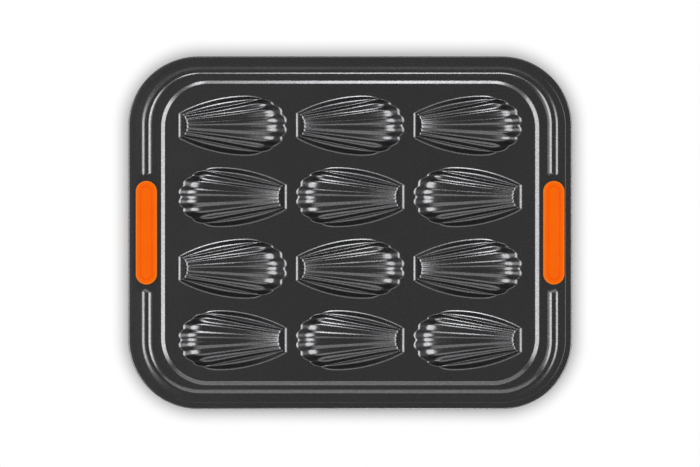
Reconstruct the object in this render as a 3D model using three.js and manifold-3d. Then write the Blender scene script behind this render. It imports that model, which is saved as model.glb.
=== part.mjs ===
// A tray for shell-shaped sponge cakes: one sheet of coated steel pressed into a rim, a sunk deck
// and twelve fluted cups, and two soft grips that snap into slots in its short rims.
// Millimetres, +Z up. The origin is under the middle of the tray, on the surface it stands on.
import * as THREE from "three";
import Module from "manifold-3d";

const wasm = await Module();
wasm.setup();

// The cups: every other row is turned end for end
const COLUMNS = 3;
const ROWS = 4;
const COLUMN_GAP = 9.5; // between the outlines of two cups in a row
const ROW_GAP = 10.4;
const TAPER_LENGTH = 57.4; // from the narrow edge of a cup to its widest place
const WIDE_LENGTH = 31.6; // from its widest place to the tips of the scallops
const CUP_WIDTH = 49.6;
const NARROW_WIDTH = 21;
const CUP_DEPTH = 14.5;
const DEEPEST_BACK = 4.9; // the deepest place lies this far back from the widest
const END_WALL_DEPTH = 6.8; // the flat wall at the narrow end, down to the foot of the flutes
const END_WALL_ANGLE = THREE.MathUtils.degToRad(46);

// The flutes of a cup, which fan out from its narrow end wall to its scalloped wide end
const FLUTES = 8;
const FAN_ANGLE = THREE.MathUtils.degToRad(70.6); // from the middle ridge to the last one
const FAN_INSET = 0.8; // the ridges end on an ellipse this far inside the sides
const FAN_FULLNESS = 2.1; // 2 is a true ellipse, more is squarer
const MIDDLE_NOTCH = 1.4; // the notch at the middle ridge, back from the scallop tips
const RIDGE_RISE = 0.35; // the middle ridge above the flat that the cup stands on
const FLUTE_SAG = 0.12; // depth of a flute for its width, at the narrow end
const SCALLOP_SAG = 0.25; // the same at the wide end
const SECTION_FULLNESS = 2.8; // powers of the bowl across, into and out of the deepest place
const ENTRY_FULLNESS = 2.2;
const EXIT_FULLNESS = 2.6;
const SIDE_FULLNESS = 1.6; // how far the long side flutes bulge under the deck's edge
const FLUTE_STEPS = 3;
const ROW_AT = [0, 0.2, 0.46, 0.64, 0.8, 0.92, 1]; // sections along a flute

// The sheet, its sunk deck and the sloped wall round the deck
const SHEET = 1;
const DECK_MARGIN_END = 11.6; // from the cups to the foot of the wall
const DECK_MARGIN_SIDE = 9.8;
const DECK_DROP = 3.6;
const WALL_RUN = 4.8;

// The rim and the lip turned down round it; its corners grow tighter towards the deck
const CORNER_RADIUS = 58.5;
const BEAD_CORNER_LESS = 12.2;
const DECK_CORNER_LESS = 23;
const CORNER_STEPS = 8;
const LIP_DROP = 3.5;
const LIP_TUCK = 1.2; // the lip's edge leans in by this much
const EDGE_BEND = 0.5; // inside radius
const BAND_WIDTH = 4.4; // the raised outermost band of the rim
const BAND_RISE = 0.4;

// The stiffening bead on the rim, which stops short of the grips
const BEAD_HALF_WIDTH = 4.3;
const BEAD_HEIGHT = 1.8;
const BEAD_FROM_BAND = 2.7;
const BEAD_TO_WALL = 1.9;
const BEAD_CLEAR_OF_GRIP = 6;

// The grips in the short rims: a cap above the sheet, a neck in the slot and a cap below
const GRIP_LENGTH = 87;
const GRIP_WIDTH = 18.2;
const GRIP_FROM_BAND = 0.9;
const GRIP_TO_WALL = 2.1;
const GRIP_RISE = 2;
const GRIP_LAP = 2.2; // the caps reach this far past the neck
const GRIP_UNDER = 1.8;
const GRIP_EDGE = 1.1;
const PANEL_BORDER = 3.4; // round the sunk panel on the top
const PANEL_SINK = 0.5;
const GRIP_STEPS = 10;
const FIT = 0.3; // clearance of the neck in the slot, shared by both faces of the sheet

// Levels and sizes that follow from the ones above
const DECK_TOP = CUP_DEPTH + SHEET;
const RIM_TOP = DECK_TOP + DECK_DROP;
const FLOOR_TOP = DECK_TOP - CUP_DEPTH;
const CUP_LENGTH = TAPER_LENGTH + WIDE_LENGTH;
const COLUMN_PITCH = CUP_LENGTH + COLUMN_GAP;
const ROW_PITCH = CUP_WIDTH + ROW_GAP;
const DECK_LENGTH = (COLUMNS - 1) * COLUMN_PITCH + CUP_LENGTH + 2 * DECK_MARGIN_END;
const DECK_WIDTH = (ROWS - 1) * ROW_PITCH + CUP_WIDTH + 2 * DECK_MARGIN_SIDE;
const GRIP_MIDDLE = BAND_WIDTH + GRIP_FROM_BAND + GRIP_WIDTH / 2;
const BEAD_MIDDLE = BAND_WIDTH + BEAD_FROM_BAND + BEAD_HALF_WIDTH;
const END_RIM = GRIP_MIDDLE + GRIP_WIDTH / 2 + GRIP_TO_WALL + WALL_RUN;
const SIDE_RIM = BEAD_MIDDLE + BEAD_HALF_WIDTH + BEAD_TO_WALL + WALL_RUN;
const HALF_LENGTH = DECK_LENGTH / 2 + END_RIM;
const HALF_WIDTH = DECK_WIDTH / 2 + SIDE_RIM;
const BEAD_STOP = GRIP_LENGTH / 2 + BEAD_CLEAR_OF_GRIP;
const GRIP_X = HALF_LENGTH - GRIP_MIDDLE;

const lerp = THREE.MathUtils.lerp;

function coatedSteel() {
  return new THREE.MeshStandardMaterial({ color: 0x2f2f30, roughness: 0.4, metalness: 0.3 });
}

function silicone() {
  return new THREE.MeshStandardMaterial({ color: 0xf46a0a, roughness: 0.6, metalness: 0 });
}

// A surface of shared corners: the same place always gives the same corner
class Surface {
  constructor() {
    this.points = [];
    this.faces = [];
    this.known = new Map();
  }

  corner(x, y, z) {
    const key = [x, y, z].map((value) => Math.round(value * 1000)).join(" ");
    if (!this.known.has(key)) {
      this.known.set(key, this.points.length);
      this.points.push(new THREE.Vector3(x, y, z));
    }
    return this.known.get(key);
  }

  face(a, b, c) {
    if (a !== b && b !== c && c !== a) {
      this.faces.push([a, b, c]);
    }
  }

  quad(a, b, c, d) {
    this.face(a, b, c);
    this.face(a, c, d);
  }

  // Two rows of corners, the second to the left of the first when seen from outside
  strip(first, second, closed) {
    const count = first.length;
    const last = closed ? count : count - 1;
    for (let i = 0; i < last; i += 1) {
      const j = (i + 1) % count;
      this.quad(first[i], first[j], second[j], second[i]);
    }
  }

  geometry() {
    const shape = new THREE.BufferGeometry().setFromPoints(this.points);
    shape.setIndex(this.faces.flat());
    return shape;
  }
}

// The way from each corner of the pressed surface to the other side of the sheet: square to the
// faces that meet there, and reaching the same level all over a flat
function sheetOffsets(surface) {
  const ways = surface.points.map(() => new THREE.Vector3());
  const normals = surface.points.map(() => []);
  for (const face of surface.faces) {
    const [a, b, c] = face.map((i) => surface.points[i]);
    const normal = new THREE.Triangle(a, b, c).getNormal(new THREE.Vector3());
    face.forEach((i, k) => {
      const here = surface.points[i];
      const next = surface.points[face[(k + 1) % 3]].clone().sub(here);
      const last = surface.points[face[(k + 2) % 3]].clone().sub(here);
      ways[i].addScaledVector(normal, next.angleTo(last));
      normals[i].push(normal);
    });
  }
  return ways.map((way, i) => {
    way.normalize();
    const level = surface.points[i].z;
    const flat = [FLOOR_TOP, DECK_TOP, RIM_TOP].some((z) => Math.abs(level - z) < 1e-6);
    const facing = normals[i].reduce((sum, normal) => sum + normal.dot(way), 0) / normals[i].length;
    return way.multiplyScalar(-SHEET / (flat ? way.z : facing));
  });
}

// Fills a flat level between a rim loop and the loops of the holes in it
function fillFlat(surface, rim, holes) {
  const plan = (loop) => loop.map((i) => new THREE.Vector2(surface.points[i].x, surface.points[i].y));
  const inner = holes.map((loop) => loop.slice().reverse());
  const corners = rim.concat(...inner);
  const faces = THREE.ShapeUtils.triangulateShape(plan(rim), inner.map(plan));
  return faces.map((face) => face.map((i) => corners[i]));
}

// Gives the pressed surface its thickness, lays the deck between the loops and closes the free edge
function thicken(surface, rim, holes) {
  const pressed = surface.faces.slice();
  const deck = fillFlat(surface, rim, holes);
  surface.faces.push(...deck);
  const offsets = sheetOffsets(surface);
  const count = surface.points.length;
  const under = (loop) => loop.map((i) => i + count);
  const solid = new Surface();
  solid.points = surface.points.concat(surface.points.map((point, i) => point.clone().add(offsets[i])));
  const deckUnder = fillFlat(solid, under(rim), holes.map(under));
  solid.faces = surface.faces.slice();
  for (const face of pressed.map(under).concat(deckUnder)) {
    solid.faces.push(face.slice().reverse());
  }
  const edges = new Set(surface.faces.flatMap(([a, b, c]) => [`${a} ${b}`, `${b} ${c}`, `${c} ${a}`]));
  for (const [a, b, c] of surface.faces) {
    for (const [from, to] of [[a, b], [b, c], [c, a]]) {
      if (!edges.has(`${to} ${from}`)) {
        solid.quad(to, from, from + count, to + count);
      }
    }
  }
  return solid.geometry();
}

// Rim: the lines that run round the tray. A line lies a given way in from the short ends, the
// long sides and the corners, and has extra stations on the short ends where the bead stops.
const EDGE_LINE = { fromEnd: 0, fromSide: 0, corner: CORNER_RADIUS };
const BEAD_LINE = { fromEnd: GRIP_MIDDLE, fromSide: BEAD_MIDDLE, corner: CORNER_RADIUS - BEAD_CORNER_LESS };
const DECK_LINE = { fromEnd: END_RIM, fromSide: SIDE_RIM, corner: CORNER_RADIUS - DECK_CORNER_LESS };
const STOP_STATIONS = [
  BEAD_STOP - BEAD_HALF_WIDTH / 2,
  BEAD_STOP,
  BEAD_STOP + BEAD_HALF_WIDTH / 2,
  BEAD_STOP + BEAD_HALF_WIDTH,
];

function ringRound(line, inset) {
  const halfX = HALF_LENGTH - line.fromEnd - inset;
  const halfY = HALF_WIDTH - line.fromSide - inset;
  const radius = line.corner - inset;
  const ends = STOP_STATIONS.map((y) => -y).reverse().concat(STOP_STATIONS);
  const points = [];
  for (let corner = 0; corner < 4; corner += 1) {
    if (corner % 2 === 0) {
      const side = corner === 0 ? 1 : -1;
      points.push(...ends.map((y) => new THREE.Vector2(side * halfX, side * y)));
    }
    const middle = new THREE.Vector2(halfX - radius, halfY - radius);
    middle.x *= corner === 0 || corner === 3 ? 1 : -1;
    middle.y *= corner < 2 ? 1 : -1;
    for (let step = 0; step <= CORNER_STEPS; step += 1) {
      const angle = ((corner + step / CORNER_STEPS) * Math.PI) / 2;
      points.push(new THREE.Vector2(Math.cos(angle), Math.sin(angle)).multiplyScalar(radius).add(middle));
    }
  }
  return points;
}

// Height of the bead at a distance from its crest line; its ends are rounded off
function beadHeight(point, across) {
  const onEnd = Math.abs(point.x) > HALF_LENGTH - CORNER_RADIUS;
  const full = BEAD_STOP + BEAD_HALF_WIDTH;
  const past = onEnd ? Math.max(0, full - Math.abs(point.y)) : 0;
  const reach = Math.min(1, Math.hypot(across, past) / BEAD_HALF_WIDTH);
  return (BEAD_HEIGHT * (1 + Math.cos(Math.PI * reach))) / 2;
}

// Lofts the rim from the lip to the foot of the wall and returns the loop that it leaves for the deck
function addRim(surface) {
  const rings = [];
  const ring = (line, inset, height) => {
    const points = ringRound(line, inset);
    rings.push(points.map((point) => surface.corner(point.x, point.y, RIM_TOP + height(point))));
  };
  const bend = EDGE_BEND + SHEET;
  const ease = bend * (1 - Math.SQRT1_2);
  ring(EDGE_LINE, LIP_TUCK, () => BAND_RISE - bend - LIP_DROP);
  ring(EDGE_LINE, LIP_TUCK / 4, () => BAND_RISE - bend - LIP_DROP / 2);
  ring(EDGE_LINE, 0, () => BAND_RISE - bend);
  ring(EDGE_LINE, ease, () => BAND_RISE - ease);
  ring(EDGE_LINE, bend, () => BAND_RISE);
  ring(EDGE_LINE, BAND_WIDTH - BAND_RISE, () => BAND_RISE);
  ring(EDGE_LINE, BAND_WIDTH + BAND_RISE, () => 0);
  for (const part of [-1, -0.5, 0, 0.5, 1]) {
    const across = part * BEAD_HALF_WIDTH;
    ring(BEAD_LINE, across, (point) => beadHeight(point, across));
  }
  for (const part of [0, 0.25, 0.75, 1]) {
    const drop = DECK_DROP * THREE.MathUtils.smoothstep(part, 0, 1);
    ring(DECK_LINE, WALL_RUN * (part - 1), () => -drop);
  }
  for (let i = 1; i < rings.length; i += 1) {
    surface.strip(rings[i - 1], rings[i], true);
  }
  return rings[rings.length - 1];
}

// Cup: u runs along it from the narrow edge and v across it. The count f runs over the flutes
// from one side to the other, so that every whole f is a sharp ridge between two flutes.
const FAN_LENGTH = CUP_LENGTH - MIDDLE_NOTCH;
const DEEPEST_U = TAPER_LENGTH - DEEPEST_BACK;
const BOWL_DEPTH = CUP_DEPTH - RIDGE_RISE;
const FAN_STEP = FAN_ANGLE / (FLUTES / 2 - 1);

// The side of the outline is an arc from the narrow edge to the widest place and past it
function halfWidthAt(u) {
  const swell = (CUP_WIDTH - NARROW_WIDTH) / 2;
  const radius = (TAPER_LENGTH ** 2 + swell ** 2) / (2 * swell);
  return CUP_WIDTH / 2 - radius + Math.sqrt(radius ** 2 - (u - TAPER_LENGTH) ** 2);
}

// A line of the fan, from the foot of the end wall to the ellipse that the ridges end on
function fanLine(f) {
  const g = f - FLUTES / 2;
  const spread = Math.sin(Math.abs(g) * FAN_STEP);
  const endV = Math.sign(g) * spread * (CUP_WIDTH / 2 - FAN_INSET);
  const reach = (1 - spread ** FAN_FULLNESS) ** (1 / FAN_FULLNESS);
  const endU = lerp(TAPER_LENGTH, FAN_LENGTH, reach);
  const startV = (g * NARROW_WIDTH) / FLUTES;
  const startShare = Math.abs((2 * startV) / NARROW_WIDTH);
  const startDepth = END_WALL_DEPTH * (1 - startShare ** SECTION_FULLNESS);
  const startU = startDepth / Math.tan(END_WALL_ANGLE);
  const acrossAt = (u) => lerp(startV, endV, (u - startU) / (endU - startU));
  const share = Math.abs(acrossAt(DEEPEST_U)) / halfWidthAt(DEEPEST_U);
  const deepest = BOWL_DEPTH * (1 - share ** SECTION_FULLNESS);
  return { startU, startDepth, endU, acrossAt, deepest };
}

// Depth of the bowl that the ridges lie on, along one line of the fan
function bowlDepth(line, u) {
  if (u < DEEPEST_U) {
    const back = (DEEPEST_U - u) / (DEEPEST_U - line.startU);
    return line.deepest - (line.deepest - line.startDepth) * back ** ENTRY_FULLNESS;
  }
  const on = (u - DEEPEST_U) / (line.endU - DEEPEST_U);
  return line.deepest * (1 - on ** EXIT_FULLNESS);
}

// Depth of a flute below the bowl: a share of its width, which grows towards the wide end
function fluteDepth(f, u) {
  const part = f - Math.floor(f);
  const width = fanLine(Math.floor(f) + 1).acrossAt(u) - fanLine(Math.floor(f)).acrossAt(u);
  const sag = lerp(FLUTE_SAG, SCALLOP_SAG, (u / CUP_LENGTH) ** 3);
  return sag * width * 4 * part * (1 - part);
}

function fanDepth(f, line, u) {
  return bowlDepth(line, u) + fluteDepth(f, u);
}

// Where a line of the fan comes up to the deck: on the scalloped outline
function outlineU(f, line) {
  let low = line.endU;
  let high = line.endU + WIDE_LENGTH / 3;
  for (let i = 0; i < 40; i += 1) {
    const middle = (low + high) / 2;
    if (fanDepth(f, line, middle) > 0) {
      low = middle;
    } else {
      high = middle;
    }
  }
  return low;
}

// A place on a line of the fan, from the foot of the flat end wall to the outline
function fanPlace(f, at) {
  const line = fanLine(f);
  const u = lerp(line.startU, outlineU(f, line), at);
  const depth = at === 1 ? 0 : Math.min(CUP_DEPTH, fanDepth(f, line, u));
  return { u: at === 0 ? depth / Math.tan(END_WALL_ANGLE) : u, v: line.acrossAt(u), depth };
}

// A place in the long flute along a side, between the last ridge and the side of the outline
function sidePlace(side, share, at) {
  const line = fanLine(FLUTES - 1);
  const rise = share ** SIDE_FULLNESS;
  const ridgeU = lerp(line.startU, line.endU, at);
  const ridgeV = line.acrossAt(ridgeU);
  const edgeU = line.endU * at;
  const edgeV = lerp(halfWidthAt(edgeU), ridgeV, at ** 12);
  const depth = at === 1 ? 0 : bowlDepth(line, ridgeU) * (1 - rise);
  return { u: lerp(ridgeU, edgeU, rise), v: side * lerp(ridgeV, edgeV, share), depth };
}

function cupPlaces() {
  const rows = [];
  for (const at of ROW_AT) {
    const row = [];
    for (let step = 0; step < FLUTE_STEPS; step += 1) {
      row.push(sidePlace(-1, 1 - step / FLUTE_STEPS, at));
    }
    for (let step = FLUTE_STEPS; step <= (FLUTES - 1) * FLUTE_STEPS; step += 1) {
      row.push(fanPlace(step / FLUTE_STEPS, at));
    }
    for (let step = 1; step <= FLUTE_STEPS; step += 1) {
      row.push(sidePlace(1, step / FLUTE_STEPS, at));
    }
    rows.push(row);
  }
  return rows;
}

// Puts one cup into the sheet and returns the outline of its hole in the deck
function addCup(surface, places, x, y, turn) {
  const corner = ({ u, v, depth }) => {
    return surface.corner(x + turn * (u - CUP_LENGTH / 2), y + turn * v, DECK_TOP - depth);
  };
  const rows = places.map((row) => row.map(corner));
  for (let i = 1; i < rows.length; i += 1) {
    surface.strip(rows[i], rows[i - 1], false);
  }
  const foot = rows[0];
  for (let i = 1; i < foot.length - 1; i += 1) {
    surface.face(foot[0], foot[i], foot[i + 1]);
  }
  const low = rows.map((row) => row[0]);
  const high = rows.map((row) => row[row.length - 1]).reverse();
  const loop = low.concat(rows[rows.length - 1], high);
  return loop.filter((point, i) => loop.indexOf(point) === i);
}

// Stadium across the short rim, drawn in by an inset from the outline of a grip
function stadium(inset) {
  const radius = GRIP_WIDTH / 2 - inset;
  const straight = (GRIP_LENGTH - GRIP_WIDTH) / 2;
  const points = [];
  for (const side of [1, -1]) {
    for (let step = 0; step <= GRIP_STEPS; step += 1) {
      const angle = (step * Math.PI) / GRIP_STEPS;
      const point = new THREE.Vector2(Math.cos(angle), Math.sin(angle)).multiplyScalar(side * radius);
      points.push(point.setY(point.y + side * straight));
    }
  }
  return points;
}

// A solid through stadium rings given as inset and height, from its top to its underside
function stadiumSolid(rings) {
  const solid = new Surface();
  const loops = rings.map(([inset, z]) => stadium(inset).map((point) => solid.corner(point.x, point.y, z)));
  for (let i = 1; i < loops.length; i += 1) {
    solid.strip(loops[i], loops[i - 1], true);
  }
  const top = loops[0];
  const under = loops[loops.length - 1];
  for (let i = 1; i < top.length - 1; i += 1) {
    solid.face(top[0], top[i], top[i + 1]);
    solid.face(under[0], under[i + 1], under[i]);
  }
  return solid.geometry();
}

function asManifold(shape) {
  const mesh = new wasm.Mesh({
    numProp: 3,
    vertProperties: new Float32Array(shape.getAttribute("position").array),
    triVerts: new Uint32Array(shape.getIndex().array),
  });
  return new wasm.Manifold(mesh);
}

function asGeometry(solid) {
  const mesh = solid.getMesh();
  const shape = new THREE.BufferGeometry();
  shape.setAttribute("position", new THREE.BufferAttribute(mesh.vertProperties, 3));
  shape.setIndex(new THREE.BufferAttribute(mesh.triVerts, 1));
  return shape;
}

function trayGeometry() {
  const surface = new Surface();
  const rim = addRim(surface);
  const places = cupPlaces();
  const holes = [];
  for (let row = 0; row < ROWS; row += 1) {
    for (let column = 0; column < COLUMNS; column += 1) {
      const x = (column - (COLUMNS - 1) / 2) * COLUMN_PITCH;
      const y = ((ROWS - 1) / 2 - row) * ROW_PITCH;
      holes.push(addCup(surface, places, x, y, row % 2 === 0 ? 1 : -1));
    }
  }
  let sheet = asManifold(thicken(surface, rim, holes));
  for (const side of [-1, 1]) {
    const inset = GRIP_LAP - FIT;
    const slot = stadiumSolid([[inset, SHEET], [inset, -2 * SHEET]]);
    sheet = sheet.subtract(asManifold(slot.translate(side * GRIP_X, 0, RIM_TOP)));
  }
  return asGeometry(sheet);
}

// Seen from the top of the sheet, so that a grip is placed at the level of the rim
function gripGeometry() {
  const seat = FIT / 2;
  const below = -SHEET - seat;
  const bottom = below - GRIP_UNDER;
  const round = GRIP_EDGE * (1 - Math.SQRT1_2);
  return stadiumSolid([
    [PANEL_BORDER + PANEL_SINK, GRIP_RISE - PANEL_SINK],
    [PANEL_BORDER, GRIP_RISE],
    [GRIP_EDGE, GRIP_RISE],
    [round, GRIP_RISE - round],
    [0, GRIP_RISE - GRIP_EDGE],
    [0, seat],
    [GRIP_LAP, seat],
    [GRIP_LAP, below],
    [0, below],
    [0, bottom + GRIP_EDGE],
    [round, bottom + round],
    [GRIP_EDGE, bottom],
  ]);
}

function named(name, shape, material) {
  const faceted = shape.toNonIndexed();
  faceted.computeVertexNormals();
  const mesh = new THREE.Mesh(faceted, material);
  mesh.name = name;
  return mesh;
}

function grip(name, side) {
  const mesh = named(name, gripGeometry(), silicone());
  mesh.position.set(side * GRIP_X, 0, RIM_TOP);
  return mesh;
}

const tray = new THREE.Group();
tray.name = "shell_cake_tray";
tray.add(named("tray_sheet", trayGeometry(), coatedSteel()));
tray.add(grip("grip_left", -1));
tray.add(grip("grip_right", 1));

export default tray;
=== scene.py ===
import math

import bpy
import numpy as np
from bpy.props import FloatProperty, FloatVectorProperty, IntProperty, PointerProperty
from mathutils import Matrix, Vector, geometry


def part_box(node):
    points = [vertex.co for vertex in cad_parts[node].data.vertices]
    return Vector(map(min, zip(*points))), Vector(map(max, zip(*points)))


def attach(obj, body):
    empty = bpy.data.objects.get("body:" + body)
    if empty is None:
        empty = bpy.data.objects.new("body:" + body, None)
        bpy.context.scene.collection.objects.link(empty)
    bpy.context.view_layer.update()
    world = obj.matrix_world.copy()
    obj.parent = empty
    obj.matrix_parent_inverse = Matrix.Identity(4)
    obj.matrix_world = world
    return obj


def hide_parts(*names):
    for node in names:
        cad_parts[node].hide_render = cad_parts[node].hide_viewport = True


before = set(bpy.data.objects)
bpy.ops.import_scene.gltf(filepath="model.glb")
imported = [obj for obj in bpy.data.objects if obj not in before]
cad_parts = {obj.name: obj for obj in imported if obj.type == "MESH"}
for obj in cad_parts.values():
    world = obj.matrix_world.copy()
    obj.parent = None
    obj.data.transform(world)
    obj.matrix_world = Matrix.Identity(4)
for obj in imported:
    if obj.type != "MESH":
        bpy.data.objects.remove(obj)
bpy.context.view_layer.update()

bl_info = {
    "name": "Shell cake tray",
    "version": (1, 0, 0),
    "blender": (4, 5, 0),
    "location": "View3D > Sidebar > Tray",
    "description": "Builds a pressed steel tray with shell cups and soft grips, and its studio",
    "category": "Add Mesh",
}

MM = 0.001
SHEET_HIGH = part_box("tray_sheet")[1]
GRIP_LOW, GRIP_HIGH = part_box("grip_right")

# The fan of lines along a cup, from its end wall to its scallops, which no user would change.
# A fullness is the power of a curve: the larger it is, the squarer the curve
FLUTES = 8
FAN_STEP = math.radians(70.6) / (FLUTES / 2 - 1)  # between two ridges where they end
FAN_INSET = 0.45 * MM  # from the outermost ridge ends to the side of the outline
FAN_FULLNESS = 2.1  # of the curve that the ridges end on
MIDDLE_NOTCH = 1.4 * MM  # from the end of the middle ridge to the wide end
START_STEP = 3.0 * MM  # between two ridges at the end wall
RIDGE_RISE = 0.8 * MM  # of the ridges over the lowest floor
FLUTE_SAG = 0.24  # hollow of the middle flutes, as a share of their width
OUTER_SAG = 0.18  # what the outer flutes have on top of that
SCALLOP_SAG = 0.29  # hollow of every flute at the scallops
FLOOR_RIDGE = 0.25  # share of a flute that its ridge is rounded over on the floor
SECTION_FULLNESS = 2.4  # of the bowl across the cup
ENTRY_FULLNESS = 2.2  # of the floor from the end wall to the deepest place
EXIT_EARLY = 0.5  # share of the climb to the scallops that begins at the deepest place
EXIT_START = 0.57  # where the rest of the climb begins, on the way to the scallops
EXIT_STRAIGHT = 0.72  # where that rest runs on straight
SIDE_FULLNESS = 3.0  # of the long flutes along the sides
SIDE_SLANT = 1.6  # of the way in which their sections lean to the narrow end
SIDE_SHOULDER = 0.14  # share of a side flute that lies in the shoulder by its ridge
SHOULDER_DROP = 0.04  # share of its depth that the shoulder takes
SCALLOP_CHANGE = 4  # how late the flutes take on their form at the scallops
SIDE_CLOSING = 28  # how late the side flutes close there
EDGE_CHANGE = 12  # how late the slope of the edge changes there
EDGE_SLOPES = (0.5, 2.5)  # least and greatest slope that the edge is rounded for
DEEPEST_BACK = 12 * MM  # from the widest place back to the deepest
FOOT_ROUND = 0.6 * MM  # where the end wall meets the floor
FLOOR_ROUND = 0.5 * MM  # where the flutes meet the lowest level
SLOPE_PASSES = 6  # how often the slopes along the outline are evened out
OUTWARD_PASSES = 30  # the same for the directions in which the deck's edge is drawn out
HALVINGS = 40  # steps in which the outline is found

# Where the sections of a cup lie: close together where it bends, as shares and, last, in metres
FLUTE_PARTS = np.array([
    0, 0.035, 0.07, 0.11, 0.15, 0.2, 0.25, 0.3, 0.36, 0.43, 0.5, 0.57, 0.64, 0.7, 0.75, 0.8, 0.85,
    0.89, 0.93, 0.965])
SIDE_SHARES = np.array([
    0.03, 0.06, 0.09, 0.12, 0.16, 0.23, 0.32, 0.4, 0.48, 0.56, 0.64, 0.72, 0.79, 0.85, 0.9, 0.94,
    0.97, 1])
WALL_SHARES = np.array([0, 0.04, 0.08, 0.13, 0.19, 0.27, 0.4, 0.55, 0.7, 0.8, 0.88, 0.95])
FLOOR_SHARES = np.concatenate([
    np.array([0, 0.004, 0.009, 0.015, 0.024, 0.038, 0.056, 0.08]),
    np.linspace(0.11, 0.9, 25),
    np.array([0.92, 0.937, 0.951, 0.963, 0.973, 0.981, 0.988, 0.993, 0.997, 1]),
])
COLLAR = np.array([0.2, 0.4, 0.6, 0.85, 1.1, 1.4, 1.7, 2.1, 2.5]) * MM

# The fine relief of the rim and the seats of the grips
BAND_STEP = 0.62 * MM  # half the width of the step inside the raised band
BEAD_STEEP = 0.42  # share of the bead's inner flank that its brow takes
BEAD_BROW = 0.34  # share of the flank's fall that lies in the brow
BEAD_RUN_OUT = 4 * MM  # how far a bead takes to run out at its tip
APRON_PARTS = (0.08, 0.3, 0.55, 0.8, 0.93)
LIP_BEND = 1.15  # radius of the bend over the lip, in thicknesses of the sheet
LIP_TUCK = 1.2 * MM  # how far the foot of the lip is turned in
SEAT_SPARE = 2.5 * MM  # flat beyond both ends of a grip
SLOT_SPARE = 0.3 * MM  # between a slot and the neck of its grip

# The section of a grip
GROOVE_FOOT = 0.8 * MM  # from the border to the lowest line of the groove
GROOVE_INNER = 1.8 * MM  # width of the groove's slope to the panel
GROOVE_OUTER = 0.9 * MM  # width of its slope to the border
UPPER_SEAT = 0.9  # share of the ledge's drop down to which the upper cap reaches
LOWER_GAP = 0.05 * MM  # between the sheet and the lower cap
LOWER_BEVEL = 0.15 * MM

# How finely curves are drawn, and how close two places are that count as one
CORNER_STEPS = 28
STADIUM_STEPS = 28
FLANK_SECTIONS = 11
TIP_SECTIONS = 14
QUARTER_TURN = [step / 8 * math.pi / 2 for step in range(9)]
TINY = 1e-6
WELD = 1e-7

# Edges that bend by more than this stay sharp
SHEET_SHARP = math.radians(80)
GRIP_SHARP = math.radians(60)

STEEPEST = 0.5  # upward part of a face's direction below which the sheet gets no deeper
INSIDE_LOOPS = 1  # asks delaunay_2d_cdt for the triangles inside its loops


def linear(hex_colour):
    """Linear RGBA of an sRGB hex colour."""
    parts = [int(hex_colour[i:i + 2], 16) / 255 for i in (1, 3, 5)]
    return (*(c / 12.92 if c <= 0.04045 else ((c + 0.055) / 1.055) ** 2.4 for c in parts), 1.0)


WHITE = linear("#ffffff")


def length_property(name, description, default):
    """A length that a user may change."""
    return FloatProperty(name=name, description=description, default=default, unit="LENGTH")


def colour_property(name, description, hex_colour):
    """A colour that a user may change."""
    return FloatVectorProperty(
        name=name, description=description, default=linear(hex_colour), size=4, subtype="COLOR",
        min=0, max=1)


class CupSizes(bpy.types.PropertyGroup):
    """Sizes of one cup and of the rows they lie in"""

    columns: IntProperty(name="Columns", description="Cups along the tray", default=3, min=1)
    rows: IntProperty(
        name="Rows", description="Rows of cups, every other one turned", default=4, min=1)
    column_gap: length_property("Column gap", "Between two cups in a row", 9.25 * MM)
    row_gap: length_property("Row gap", "Between two rows of cups", 12.3 * MM)
    taper: length_property("Taper", "From the narrow edge to the widest place", 58 * MM)
    wide: length_property("Wide end", "From the widest place to the scallops", 31 * MM)
    width: length_property("Width", "Widest place of a cup", 47.5 * MM)
    narrow: length_property("Narrow edge", "Straight edge at the narrow end", 18.8 * MM)
    depth: length_property("Depth", "From the deck to the floor", 14.7 * MM)
    wall_depth: length_property("End wall", "Depth of the flat wall at the narrow end", 7.4 * MM)
    wall_angle: FloatProperty(
        name="End wall angle", description="Slope of that wall", default=math.radians(50),
        subtype="ANGLE")
    edge_round: length_property("Edge radius", "Radius of the rounded edge of a cup", 3.2 * MM)
    ridge_round: FloatProperty(
        name="Ridge round", default=0.14, subtype="FACTOR",
        description="Share of a flute that its ridge is rounded over at the scallops")


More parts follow.
